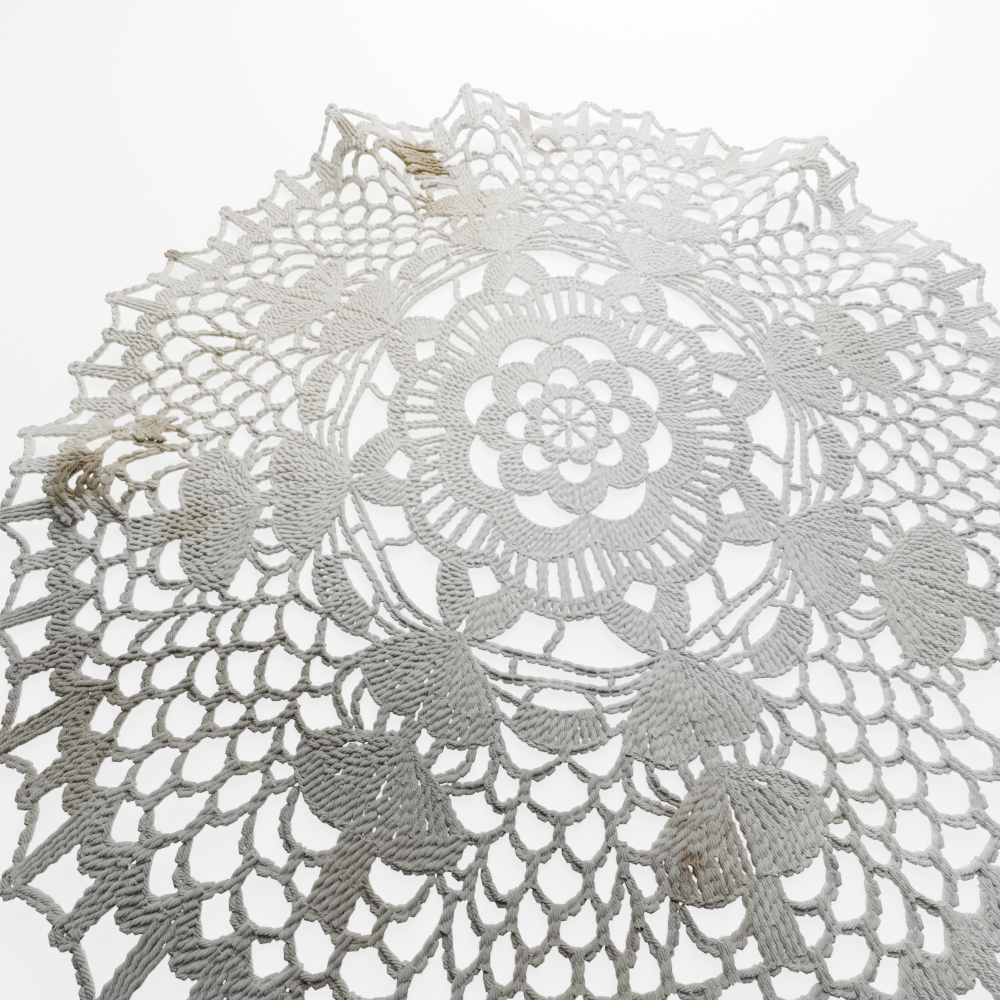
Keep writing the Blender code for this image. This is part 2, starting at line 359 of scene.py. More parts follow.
def shell(axis):
    middle = axis + SHELL
    feet = line_at(middle, SHELL_FEET)
    chain("rosette", feet)
    row("rosette", feet, line_at(middle, SHELL_HEADS), SHELL_POSTS)


# %% The bars and the scalloped band
BAR_COLUMNS = ("foot_turn", "foot_radius", "head_turn", "head_radius")
BARS = (
    (-8.5, 33.6, -6.5, 45.6),
    (-2.6, 36.0, -1.8, 43.0),
    (3.4, 37.4, 4.4, 43.8),
    (9.6, 38.4, 10.2, 46.0),
    (16.6, 38.4, 17.6, 47.6),
    (23.6, 37.4, 24.6, 47.8),
    (29.6, 35.8, 31.2, 46.6),
)
BAR_LEAN = 1.0              # degrees from a bar's middle to each of its two posts, at the foot
BAR_HEAD_LEAN = 0.7
BAR_HALF = 0.46
BAR_INTO_SHELL = 0.8        # mm that a bar's foot reaches over the shells
BAR_INTO_BAND = 0.6
BAR_STRAY = 0.5             # degrees
BAND_INNER = ((-0.5, 42.4), (4.0, 44.0), (8.5, 46.2), (15.0, 47.6), (22.0, 48.4),
              (29.5, 47.6), (36.0, 46.2), (40.5, 44.0), (44.5, 42.4))
BAND_OUTER = ((0.0, 44.4), (5.0, 46.8), (9.0, 49.2), (15.0, 50.8), (22.0, 51.6),
              (29.5, 50.8), (36.0, 49.2), (40.5, 46.8), (45.0, 44.4))
BAND_STITCHES = 20


def bars_and_band(axis):
    for bar in named_rows(BAR_COLUMNS, BARS):
        foot_turn = axis + bar["foot_turn"] + chance.uniform(-BAR_STRAY, BAR_STRAY)
        head_turn = axis + bar["head_turn"]
        for side in (-1, 1):
            foot = at(foot_turn + side * BAR_LEAN, bar["foot_radius"] - BAR_INTO_SHELL)
            head = at(head_turn + side * BAR_HEAD_LEAN, bar["head_radius"] + BAR_INTO_BAND)
            post("rosette", foot, head, layer=ROW_LAYER, half=BAR_HALF)
    inner = line_at(axis, BAND_INNER)
    chain("rosette", inner, stitches=BAND_STITCHES, half=SLIM_HALF)
    row("rosette", inner, line_at(axis, BAND_OUTER), BAND_STITCHES)


# %% The arch that gathers to a leaf's root
LEFT_FEET = ((-7.4, 48.0), (-4.4, 50.8), (0.0, 54.6))
LEFT_HEADS = ((-12.4, 50.4), (-9.6, 55.0), (-5.6, 59.4), (-0.9, 62.4))
RIGHT_FEET = ((0.0, 54.6), (4.6, 51.4), (7.6, 48.4))
RIGHT_HEADS = ((0.9, 62.4), (5.8, 59.6), (9.8, 55.2), (12.4, 50.8))
ARCH_POSTS = 10


def arch(axis):
    for feet, heads in ((LEFT_FEET, LEFT_HEADS), (RIGHT_FEET, RIGHT_HEADS)):
        feet = line_at(axis, feet)
        chain("arches", feet)
        row("arches", feet, line_at(axis, heads), ARCH_POSTS)


# %% The ladder of chains between two leaf roots, and the fan that stands on it
LADDER = (
    ((21.5, 51.0), (22.4, 54.0), (20.4, 57.0), (18.6, 59.0), (19.5, 61.2)),
    ((1.2, 62.6), (8.0, 61.6), (19.5, 61.4), (30.0, 63.4), (37.0, 63.6), (43.8, 62.6)),
    ((12.6, 61.8), (12.4, 64.0), (13.0, 66.2)),
    ((32.5, 63.6), (31.8, 65.0), (31.5, 66.8)),
    ((3.5, 65.4), (9.0, 66.8), (13.2, 66.6), (22.0, 66.0), (31.5, 67.4), (36.5, 66.8), (41.8, 65.0)),
    ((6.4, 68.6), (9.0, 69.8), (12.0, 70.4), (15.4, 71.2)),
    ((15.4, 71.2), (16.6, 68.6), (18.4, 66.6)),
    ((26.2, 66.8), (28.0, 69.0), (29.4, 71.2)),
    ((29.4, 71.2), (32.4, 70.8), (35.4, 70.2), (38.4, 68.8)),
)
FAN_FEET = ((15.4, 71.2), (18.6, 71.9), (22.3, 72.3), (26.0, 71.9), (29.2, 71.2))
FAN_HEADS = ((13.8, 75.4), (17.4, 78.0), (22.3, 79.0), (27.2, 78.0), (30.8, 75.4))
FAN_POSTS = 13
FAN_STAYS = (
    ((11.2, 74.2), (12.4, 74.6), (14.2, 75.8)),
    ((33.8, 74.2), (32.6, 74.6), (30.4, 75.8)),
)


def ladder(axis):
    for rung in LADDER:
        chain("arches", line_at(axis, rung))
    feet = line_at(axis, FAN_FEET)
    chain("arches", feet)
    row("arches", feet, line_at(axis, FAN_HEADS), FAN_POSTS)
    for stay in FAN_STAYS:
        chain("arches", line_at(axis, stay))


for section in range(SECTIONS):
    for make in (small_petals, large_petal, shell, bars_and_band, arch, ladder):
        make(FIRST_LEAF + section * SECTION)
print("rosette and arches:", len(thread["rosette"]) + len(thread["arches"]), "runs of thread")

# %% [markdown]
# ## The leaves
# From each root a fan of posts widens row by row in two lobes. Its last row draws in again to the
# root of a second, smaller leaf. A narrow strip of posts runs on from that to the rim. Each post could
# be placed by hand, but the rows follow a rule, so they are a table: where each starts and ends, how
# far it reaches to both sides there, how many posts it has in each lobe, and how far its outer corner
# stays behind.

# %% Rows of the leaves
LEAF_ROW_COLUMNS = ("foot_radius", "foot_turn", "head_radius", "head_turn", "posts", "droop")
LEAF_ROWS = (
    (63.4, 1.0, 70.4, 8.6, 6, 2.0),
    (70.2, 8.4, 77.2, 12.4, 11, 2.0),
    (77.0, 12.2, 83.2, 12.6, 13, 4.0),
    (88.0, 1.2, 94.6, 8.6, 7, 1.6),
    (94.4, 8.4, 101.2, 11.8, 12, 2.0),
    (101.0, 11.6, 107.4, 10.8, 14, 3.6),
)
CLEFT = 0.15                # degrees left open between the two lobes
FOOT_DROOP = (0.2, 0.7)     # shares of the droop at the cleft and at the outer corner
HEAD_DROOP = (0.4, 1.0)
FOOT_BULGE = (0.55, 0.2)    # share of the turn at which a row stands out, and by how many mm
HEAD_BULGE = (0.5, 0.3)
EDGED_FROM = 11.0           # degrees: a row with wider feet has a chain along its heads
LEAF_STRAY = 0.55           # mm: the leaves' stitches are the least even
LEAF_LAYER = 0.15
STALK_COLUMNS = ("foot_turn", "foot_radius", "head_turn", "head_radius")
STALKS = (
    (-5.5, 81.4, -4.0, 90.4),
    (-4.8, 81.6, -3.4, 90.0),
    (-1.1, 82.4, -0.8, 89.4),
    (-0.35, 82.6, -0.25, 89.8),
    (0.35, 82.6, 0.25, 89.8),
    (1.1, 82.4, 0.8, 89.4),
    (4.8, 81.6, 3.4, 90.0),
    (5.5, 81.4, 4.0, 90.4),
)
STRIP = ((107.4, 113.6), (113.2, 119.4))
STRIP_SIDES = (-2.1, 2.3)
STRIP_POSTS = 6
STALK_LAYER = 0.2


def lobe_line(axis, side, turn, radius, droops, bulge):
    """One line of a lobe's row: from the cleft, over its bulge, to its outer corner."""
    line = (
        (CLEFT, radius - droops[0]),
        (bulge[0] * turn, radius + bulge[1]),
        (turn, radius - droops[1]),
    )
    return line_at(axis, [(side * place, away) for place, away in line])


def lobe(axis, side, foot_radius, foot_turn, head_radius, head_turn, posts, droop):
    foot_droops = [share * droop for share in FOOT_DROOP]
    head_droops = [share * droop for share in HEAD_DROOP]
    feet = lobe_line(axis, side, foot_turn, foot_radius, foot_droops, FOOT_BULGE)
    heads = lobe_line(axis, side, head_turn, head_radius, head_droops, HEAD_BULGE)
    row("leaves", feet, heads, posts, layer=LEAF_LAYER, edge=foot_turn > EDGED_FROM,
        half=FULL_POST_HALF, stray=LEAF_STRAY)


def leaf(axis):
    for side in (-1, 1):
        for values in named_rows(LEAF_ROW_COLUMNS, LEAF_ROWS):
            lobe(axis, side, **values)
    for stalk in named_rows(STALK_COLUMNS, STALKS):
        foot = at(axis + stalk["foot_turn"], stalk["foot_radius"])
        head = at(axis + stalk["head_turn"], stalk["head_radius"])
        post("leaves", foot, head, layer=STALK_LAYER)
    for inner, outer in STRIP:
        feet = line_at(axis, ((STRIP_SIDES[0], inner), (STRIP_SIDES[1], inner)))
        heads = line_at(axis, ((STRIP_SIDES[0], outer), (STRIP_SIDES[1], outer)))
        row("leaves", feet, heads, STRIP_POSTS, edge=False)


for section in range(SECTIONS):
    leaf(FIRST_LEAF + section * SECTION)
print("leaves:", len(thread["leaves"]), "runs of thread")

# %% [markdown]
# ## The net
# Between the leaves each row of chain loops hangs from the loops of the row before it, so the cells
# are six-sided and staggered. Every row has one loop more than the last, until nine to a section
# close the round. A grid of six-sided holes would be quicker, but it would look punched. Each loop is
# tied down by a short stitch over the loop above it, wherever that is, so a joint's radius is read
# from the last row and not from a list. Its turn is in the table.

# %% Rows of chain loops
NET_COLUMNS = ("flank_radius", "radius", "joint_turns")
NET = (
    (76.4, 85.0, (12.4, 22.5, 32.6)),
    (86.2, 92.2, (12.9, 18.2, 26.8, 32.1)),
    (94.8, 99.4, (8.6, 15.6, 22.5, 29.4, 36.4)),
    (104.0, 106.4, (10.9, 14.2, 19.4, 25.6, 30.8, 34.1)),
    (105.8, 113.4, (9.8, 12.9, 17.2, 22.5, 27.8, 32.1, 35.2)),
    (119.0, 120.4, (0.0, 5.4, 11.6, 15.1, 20.0, 25.0, 29.9, 33.4, 39.6, 45.0)),
    (124.6, 127.0, (2.6, 8.2, 13.2, 17.7, 22.5, 27.3, 31.8, 36.8, 42.4, 47.6)),
)
BESIDE_STRIP = ((1.5, 110.4), (2.8, 113.4), (5.2, 114.6), (7.6, 112.8), (8.8, 107.0))
AFTER_BESIDE = 5            # the row whose joints may lie on the loops beside a strip
NECKS = (
    ((11.9, 80.2), (13.0, 84.8), (11.6, 88.8), (6.9, 92.2)),
    ((9.4, 81.8), (9.3, 85.8), (8.2, 88.4), (5.6, 91.0)),
)
NET_HALF = 1.14             # the same as CHAIN_HALF, for the net's looser cords
SMALL_LOOP = 3.6            # degrees: a narrower loop hangs only a little
SMALL_SAG = 1.3
JOINT_STRAY_TURN = 0.7      # degrees
JOINT_STRAY = 1.15          # mm
JOINT_HALF = 0.6            # mm from a joint's middle to where its loops start
TIE_HALF = 0.45             # mm from a tie's middle to each of its two posts
TIE_POST_HALF = 0.36
TIE_LAYER = 0.4
TIE_OVER = 1.1              # mm that a tie reaches over the loop above
TIE_UNDER = 4.1             # mm from the loop above to where a tie's own loops start
TIE_PAST = 0.6              # mm that a tie's posts reach past that
# How a loop hangs: shares of its way across, and of its way down.
HANG = ((0.12, 0.42), (0.30, 0.85), (0.50, 1.0), (0.70, 0.85), (0.88, 0.42))
INTO_LEAF = 0.9             # mm that a row's first and last loop reach into the leaves


def loop_points(start, end, middle_radius):
    """A hanging loop: down from one joint, along, and up to the next."""
    (turn_a, radius_a), (turn_b, radius_b) = start, end
    points = [start]
    for share, drop in HANG:
        straight = radius_a + share * (radius_b - radius_a)
        points.append((turn_a + share * (turn_b - turn_a), straight + drop * (middle_radius - straight)))
    return points + [end]


def radius_on(loops, turn, default):
    """Where a row of loops lies at a given turn."""
    for loop in loops:
        turns = [point[0] for point in loop]
        if turns[0] <= turn <= turns[-1]:
            return float(np.interp(turn, turns, [point[1] for point in loop]))
    return default


def tie(axis, turn, radius, under=TIE_UNDER):
    """The short stitch that ties a loop to the one above it."""
    for side in (-1, 1):
        place = axis + turn + side * math.degrees(TIE_HALF / radius)
        foot = at(place, radius - TIE_OVER)
        head = at(place, radius + under + TIE_PAST)
        post("ties", foot, head, layer=TIE_LAYER, half=TIE_POST_HALF, hand=side)


def net_row(axis, above, turns, flank_radius, radius):
    joints = [(turn, radius_on(above, turn, flank_radius) + TIE_UNDER) for turn in turns]
    joints[0] = (turns[0], flank_radius)
    joints[-1] = (turns[-1], flank_radius)
    for turn, away in joints[1:-1]:
        tie(axis, turn, away - TIE_UNDER)
    loops = []
    last = len(joints) - 2
    for number, ((turn_a, away_a), (turn_b, away_b)) in enumerate(zip(joints, joints[1:])):
        start = (turn_a + math.degrees((JOINT_HALF if number > 0 else -INTO_LEAF) / away_a), away_a)
        end = (turn_b - math.degrees((JOINT_HALF if number < last else -INTO_LEAF) / away_b), away_b)
        lowest = radius + chance.uniform(-JOINT_STRAY, JOINT_STRAY)
        if turn_b - turn_a < SMALL_LOOP:
            lowest = max(away_a, away_b) + SMALL_SAG
        points = loop_points(start, end, lowest)
        loops.append(points)
        chain("net", line_at(axis, points), layer=chance.uniform(*LAYER_STRAY), half=NET_HALF)
    return loops


def mirrored(points):
    return [(SECTION - turn, radius) for turn, radius in reversed(points)]


def net_section(axis):
    above = []
    for number, values in enumerate(named_rows(NET_COLUMNS, NET)):
        turns = np.array(values["joint_turns"])
        turns[1:-1] += chance.uniform(-JOINT_STRAY_TURN, JOINT_STRAY_TURN, len(turns) - 2)
        if number == AFTER_BESIDE:
            above = [BESIDE_STRIP] + above + [mirrored(BESIDE_STRIP)]
        above = net_row(axis, above, turns, values["flank_radius"], values["radius"])
    tie(axis, turns[0], values["flank_radius"] - TIE_UNDER)
    return above


last_row = []
for section in range(SECTIONS):
    axis = FIRST_LEAF + section * SECTION
    for loop in net_section(axis):
        last_row.append([(axis + turn, radius) for turn, radius in loop])
    for points in (*NECKS, BESIDE_STRIP):
        chain("net", line_at(axis, points), half=NET_HALF)
        chain("net", line_at(axis, mirrored(points)), half=NET_HALF)
print("net:", len(thread["net"]), "cords,", round(2 * (NET_HALF + THREAD_RADIUS), 1), "mm wide")

# %% [markdown]
# ## The rim
# One more round of loops carries a shell of long stitches each. At every second joint between two
# shells a leg of posts drawn to a point stands out, with a knot, or picot, at its tip. The other
# joints have a shorter leg, or knob, with a picot too, and single chains swing from leg to knob to
# leg. A joint's own tie starts on the net's last row, wherever that hangs there.

# %% Shells, legs and picots
RIM_LOOPS = 72
RIM_PITCH = 360 / RIM_LOOPS
RIM_STRAY = 0.35            # degrees
RIM_BASE = ((0.25, 127.6), (0.9, 129.6), (1.7, 131.6), (2.5, 132.4),
            (3.3, 131.6), (4.1, 129.6), (4.75, 127.6))
RIM_EDGE = ((0.3, 131.0), (1.0, 133.8), (1.7, 135.8), (2.5, 136.6),
            (3.3, 135.8), (4.0, 133.8), (4.7, 131.0))
RIM_POSTS = 11
RIM_OVERLAP = 0.5
RIM_TIE_PAST = 1.0          # mm that a tie reaches past the start of its loops
LEG_FOOT = 129.8
LEG_TIP = 149.6
LEG_TIP_STRAY = (-3.2, 0.8)
LEG_COLUMNS = ("foot_turn", "tip_turn")    # degrees from a leg's middle to each of its posts
LEG_SPREAD = ((-0.96, -0.42), (-0.32, -0.14), (0.32, 0.14), (0.96, 0.42))
LEG_HALF = 0.56
LEG_LAYER = 0.4
KNOB_TIP = 142.6
KNOB_SIZE = 1.15            # of a knob and its picot, where a leg's is 1
PICOT = ((-0.7, -1.4), (-1.9, 0.0), (-1.2, 1.8), (1.2, 1.8), (1.9, 0.0), (0.7, -1.4))
PICOT_LAYER = 0.5
SWING_RADIUS = 143.6
SWING_STRAY = 0.8
SWING_LAYER = 0.2
SWING_LOW = 0.6             # share of the way from leg to knob at which the chain hangs lowest
BESIDE_TIP = 0.4            # degrees from a leg's tip to where its chain starts
PAST_KNOB = 0.6             # mm


def picot(turn, radius, size=1.0):
    """A small ring of chain, pulled tight to a knot."""
    ring = [at(turn + math.degrees(size * across / radius), radius + size * away)
            for across, away in PICOT]
    chain("legs", ring, layer=PICOT_LAYER, half=SLIM_HALF)


def leg(joint, foot_radius, tip, size):
    for spread in named_rows(LEG_COLUMNS, LEG_SPREAD):
        foot_turn = spread["foot_turn"]
        foot = at(joint + size * foot_turn, foot_radius + abs(foot_turn))
        head = at(joint + size * spread["tip_turn"], tip)
        post("legs", foot, head, layer=LEG_LAYER, half=LEG_HALF, hand=1 if foot_turn < 0 else -1)
    picot(joint, tip, size)


def swing(start, end, share, radius):
    """A chain from a leg's tip that sags towards the shells on its way to the next knot."""
    lowest = at((1 - share) * start[0] + share * end[0], radius)
    chain("legs", [at(*start), lowest, at(*end)], layer=SWING_LAYER, half=SLIM_HALF)


# %% Go round the rim
LAST_NET_ROW = named_rows(NET_COLUMNS, NET)[-1]
NET_START = FIRST_LEAF + LAST_NET_ROW["joint_turns"][0]

for number in range(RIM_LOOPS):
    joint = FIRST_LEAF + number * RIM_PITCH + chance.uniform(-RIM_STRAY, RIM_STRAY)
    base = line_at(joint, RIM_BASE)
    chain("shells", base)
    net_turn = joint if joint > NET_START else joint + 360
    above = radius_on(last_row, net_turn, LAST_NET_ROW["radius"])
    tie(joint, 0.0, above, RIM_BASE[0][1] + RIM_TIE_PAST - above)
    row("shells", base, line_at(joint, RIM_EDGE), RIM_POSTS, half=FULL_POST_HALF, overlap=RIM_OVERLAP)
    tip = LEG_TIP + chance.uniform(*LEG_TIP_STRAY)
    if number % 2 == 0:
        leg(joint, LEG_FOOT, tip, 1.0)
        ends = ((joint + BESIDE_TIP, tip), (joint + RIM_PITCH, KNOB_TIP + PAST_KNOB))
        share = SWING_LOW
    else:
        leg(joint, LEG_FOOT, KNOB_TIP, KNOB_SIZE)
        ends = ((joint, KNOB_TIP + PAST_KNOB), (joint + RIM_PITCH - BESIDE_TIP, tip))
        share = 1.0 - SWING_LOW
    swing(*ends, share, SWING_RADIUS + chance.uniform(-SWING_STRAY, SWING_STRAY))

# %% [markdown]
# ## Where the edge has drawn up
# At three places on the far and the left side the net has drawn together, and its rows lie close over
# one another. A cloth simulation that pulls the rim in would crumple all of it. So each place gets a
# few more chains, laid close and a little higher than the rest, between two turns and two radii.

# %% Lay the drawn-up rows
BUNCH_COLUMNS = ("first_turn", "last_turn", "first_radius", "last_radius", "rows")
BUNCHES = (
    (110.2, 117.4, 113.5, 130.5, 7),
    (189.0, 195.0, 122.0, 132.5, 5),
    (181.0, 185.4, 115.5, 120.0, 3),
)
BUNCH_BOW = np.array((-1.6, 0.48, 1.6, 0.48, -1.6))    # mm outwards, from a row's start to its end
BUNCH_TURN_STRAY = 0.5      # degrees
BUNCH_STRAY = 0.7           # mm
BUNCH_LAYER = 1.1
BUNCH_LAYER_STRAY = (-0.5, 0.9)

steps = len(BUNCH_BOW)
for bunch in named_rows(BUNCH_COLUMNS, BUNCHES):
    for radius in np.linspace(bunch["first_radius"], bunch["last_radius"], bunch["rows"]):
        turns = np.linspace(bunch["first_turn"], bunch["last_turn"], steps)
        turns += chance.uniform(-BUNCH_TURN_STRAY, BUNCH_TURN_STRAY, steps)
        bows = BUNCH_BOW + chance.uniform(-BUNCH_STRAY, BUNCH_STRAY, steps)
        line = [at(turn, radius + bow) for turn, bow in zip(turns, bows)]
        chain("shells", line, layer=BUNCH_LAYER + chance.uniform(*BUNCH_LAYER_STRAY))
print("rim:", len(thread["shells"]) + len(thread["legs"]), "runs of thread")

# %% [markdown]
# ## From lines to thread
# A curve object's own bevel would give the thread its round section, but it would not say where along
# and around the thread a point lies, and the cotton's twist needs both. So a curve object holds each
# piece's runs as plain splines, and Geometry Nodes sweeps a circle along them. Two attributes go with
# the mesh: the distance run along the thread, and the place around it.


# %% The nodes that give a line its thread
def spinning_nodes():
    tree = bpy.data.node_groups.new("spin_thread", "GeometryNodeTree")
    tree.interface.new_socket("Geometry", in_out="INPUT", socket_type="NodeSocketGeometry")
    tree.interface.new_socket("Geometry", in_out="OUTPUT", socket_type="NodeSocketGeometry")
    add = tree.nodes.new
    link = tree.links.new
    source = add("NodeGroupInput")
    length = add("GeometryNodeSplineParameter")
    keep_run = add("GeometryNodeStoreNamedAttribute")
    keep_run.data_type = "FLOAT"
    keep_run.domain = "POINT"
    keep_run.inputs["Name"].default_value = "run"
    link(source.outputs["Geometry"], keep_run.inputs["Geometry"])
    link(length.outputs["Length"], keep_run.inputs["Value"])
    circle = add("GeometryNodeCurvePrimitiveCircle")
    circle.inputs["Resolution"].default_value = THREAD_SIDES
    circle.inputs["Radius"].default_value = THREAD_RADIUS * MM
    place = add("GeometryNodeInputPosition")
    keep_place = add("GeometryNodeStoreNamedAttribute")
    keep_place.data_type = "FLOAT_VECTOR"
    keep_place.domain = "POINT"
    keep_place.inputs["Name"].default_value = "around"
    link(circle.outputs["Curve"], keep_place.inputs["Geometry"])
    link(place.outputs["Position"], keep_place.inputs["Value"])
    tube = add("GeometryNodeCurveToMesh")
    tube.inputs["Fill Caps"].default_value = True
    link(keep_run.outputs["Geometry"], tube.inputs["Curve"])
    link(keep_place.outputs["Geometry"], tube.inputs["Profile Curve"])
    result = add("NodeGroupOutput")
    link(tube.outputs["Mesh"], result.inputs["Geometry"])
    return tree


# %% Lay each piece's thread
def spin(name, runs, nodes):
    """A mesh object of thread along the runs, laid as the doily lies."""
    lines = bpy.data.curves.new(name + "_lines", "CURVE")
    lines.dimensions = "3D"
    for points in runs:
        spline = lines.splines.new("POLY")
        spline.points.add(len(points) - 1)
        laid = lay(points)
        spline.points.foreach_set("co", np.column_stack((laid, np.ones(len(laid)))).ravel())
    holder = bpy.data.objects.new(name + "_lines", lines)
    bpy.context.scene.collection.objects.link(holder)
    holder.modifiers.new("spin", "NODES").node_group = nodes
    mesh = bpy.data.meshes.new_from_object(holder.evaluated_get(bpy.context.evaluated_depsgraph_get()))
    mesh.name = name
    mesh.shade_smooth()
    piece = bpy.data.objects.new(name, mesh)
    bpy.context.scene.collection.objects.link(piece)
    bpy.data.objects.remove(holder)
    return piece


nodes = spinning_nodes()
pieces = {name: spin("doily_" + name, runs, nodes) for name, runs in thread.items()}
for name, piece in pieces.items():
    piece.data.calc_loop_triangles()
    heights = [vertex.co.z for vertex in piece.data.vertices]
    print(name, len(piece.data.loop_triangles), "triangles, z from", round(min(heights) / MM, 2),
          "to", round(max(heights) / MM, 2), "mm")

# %% [markdown]
# ## Cotton
# Crochet cotton is spun from six plies, whose twist shows as fine slanting ribs on the thread. Real
# ribs would need many times the faces, so they are bump, with painted shade in the colour between the
# plies, drawn along the thread by its two attributes. Cotton is matt, with a soft sheen at grazing
# angles from its loose fibres, whose tufts are a fine noise in its colour. This one has aged from white
# to ecru-grey in soft patches.


# %% Colours and the node helper
def linear(code):
    """sRGB hex to linear colour."""
    values = [int(code[place:place + 2], 16) / 255 for place in (1, 3, 5)]
    return [v / 12.92 if v <= 0.04045 else ((v + 0.055) / 1.055) ** 2.4 for v in values] + [1.0]


def add_node(tree, kind, settings=None, **links):
    """Add a node with its settings, and link or set its inputs by name, or by number as _0 and _1."""
    node = tree.nodes.new(kind)
    for name, value in (settings or {}).items():
        setattr(node, name, value)
    for name, value in links.items():
        number = name[1:]
        numbered = name[0] == "_" and number.isdigit()
        socket = node.inputs[int(number) if numbered else name.replace("_", " ")]
        if isinstance(value, bpy.types.NodeSocket):
            tree.links.new(value, socket)
        else:
            socket.default_value = value
    return node


# %% Spun cotton
ECRU = "#E2E2DE"
SHADE = "#C3C2BB"
PLY_SHADE_AND_TUFT = "#7A766E"         # painted shade between two plies, and the colour of a dark tuft
PLY_SHADE_SHARE = 0.45
PLIES = 6
PLY_LAY = 5.0               # mm of thread for one turn of its plies
PLY_BUMP = 0.13
FIBRE_SIZE = 0.35           # mm: a real fibre is too fine to show, so it is drawn coarser
FIBRE_BUMP = 0.06
CLOUD_SIZE = 26.0           # mm, the soft patches of ageing
CLOUDS = 1.6                # how strongly the patches differ
CLOUD_START = -0.35
SPECK_SIZE = 3.0
SPECKS = 0.35
FUZZ_SIZE = 1.1             # mm, the uneven tufts of loose fibre
FUZZ = 1.6
MIDDLE = 0.5                # the level about which a noise varies
COTTON_ROUGHNESS = 0.9
COTTON_SHEEN = 0.25
SHEEN_ROUGHNESS = 0.5


def scaled(tree, place, size_mm, **links):
    """A noise whose features are about the given size in millimetres."""
    noise = add_node(tree, "ShaderNodeTexNoise", Vector=place, Scale=1.0 / (size_mm * MM), **links)
    return noise.outputs["Fac"]


def arithmetic(tree, operation, first, second=0.0):
    return add_node(tree, "ShaderNodeMath", {"operation": operation}, _0=first, _1=second).outputs["Value"]


def ply_ridges(tree):
    """1 on the back of each ply and 0 between plies, from the run and place around the thread."""
    around = add_node(tree, "ShaderNodeAttribute", {"attribute_name": "around"})
    run = add_node(tree, "ShaderNodeAttribute", {"attribute_name": "run"})
    parts = add_node(tree, "ShaderNodeSeparateXYZ", Vector=around.outputs["Vector"])
    angle = arithmetic(tree, "ARCTAN2", parts.outputs["Y"], parts.outputs["X"])
    turned = arithmetic(tree, "MULTIPLY", run.outputs["Fac"], 2 * math.pi / (PLY_LAY * MM))
    both = arithmetic(tree, "MULTIPLY", arithmetic(tree, "ADD", angle, turned), 0.5 * PLIES)
    return arithmetic(tree, "ABSOLUTE", arithmetic(tree, "SINE", both))


def blend(tree, share, first, second, kind="MIX"):
    node = add_node(tree, "ShaderNodeMix", {"data_type": "RGBA", "blend_type": kind})
    for name, value in (("Factor", share), ("A", first), ("B", second)):
        for socket in node.inputs:
            if socket.enabled and socket.name == name:
                if isinstance(value, bpy.types.NodeSocket):
                    tree.links.new(value, socket)
                else:
                    socket.default_value = value
    return [socket for socket in node.outputs if socket.enabled][0]


# %% [markdown]
# ## Stains, and painted shade on the near side
# Old cotton has brown and rusty spots and pale yellow patches. They could be painted on an image, but a
# stain is just a place, so each is a row of a table: its middle on the chart, the radius of its full core,
# how far it fades out, the colour that the cotton's own is multiplied by, and how strong that is. One
# noise makes all their edges ragged. The two pale broad ones at the top of the table are the yellowing
# of the far left side and the cooler grey of the right. The last row is no stain but painted shade: a
# broad grey that darkens the near left side, where the light falls off.

# %% The table of stains, and of the painted shade
STAIN_AND_SHADE_EDGE = 7.0            # mm, the size of the waves in the edge of a stain or of the painted shade
WIDEST_EDGE = 20.0          # mm, no stain's edge wanders further for being larger
RAGGED = 1.6                # how far an edge wanders, as a share of the stain's size
STAIN_AND_SHADE_COLUMNS = ("turn", "radius", "core", "across", "colour", "strength")
STAINS_AND_SHADE = (
    (150.0, 126.0, 40.0, 120.0, "#F4EFDE", 1.0),
    (343.0, 100.0, 35.0, 125.0, "#CDD1D4", 1.0),
    (114.5, 124.0, 7.0, 15.0, "#947E44", 1.00),
    (121.5, 124.0, 2.0, 8.0, "#9C8850", 0.85),
    (124.0, 137.0, 3.0, 10.0, "#9A8450", 0.75),
    (117.5, 103.0, 3.0, 10.0, "#C9B887", 0.80),
    (90.5, 127.0, 4.0, 10.0, "#94844F", 0.80),
    (94.5, 138.0, 4.0, 11.0, "#9C8C58", 0.80),
    (114.0, 92.0, 5.0, 18.0, "#DCCDA2", 0.60),
    (190.5, 129.0, 3.5, 9.0, "#A8966A", 0.90),
    (187.0, 124.0, 5.0, 18.0, "#CDC19A", 0.75),
    (183.0, 116.0, 2.0, 8.0, "#B4A47A", 0.75),
    (166.0, 112.0, 3.0, 9.0, "#9A9A6E", 0.70),
    (199.0, 104.0, 3.0, 9.0, "#CDBE98", 0.60),
    (281.5, 100.5, 1.5, 4.5, "#A4803C", 0.85),
    (284.0, 100.0, 4.0, 18.0, "#D9C9A4", 0.55),
    (302.0, 104.0, 4.0, 14.0, "#C9BC94", 0.50),
    (153.0, 150.0, 2.0, 6.0, "#6E5028", 0.85),
    (215.0, 134.0, 8.0, 24.0, "#C4B992", 0.65),
    (48.0, 130.0, 4.0, 12.0, "#CBC7A8", 0.50),
    (60.0, 138.0, 3.0, 10.0, "#C9BE9A", 0.50),
    (331.0, 106.0, 10.0, 30.0, "#E2D9C6", 0.45),
    (20.0, 98.0, 6.0, 20.0, "#E0D6C2", 0.55),
    (246.0, 116.0, 5.0, 18.0, "#D8CBB2", 0.55),
    (268.0, 124.0, 8.0, 30.0, "#E4DCCA", 0.55),
    (222.0, 100.0, 8.0, 30.0, "#E6DFCC", 0.55),
    # painted shade, no stain: a broad grey that darkens the near left side, where the lamp's light falls
    # off
    (245.0, 287.0, 206.0, 296.0, "#7C7B77", 1.0),
)
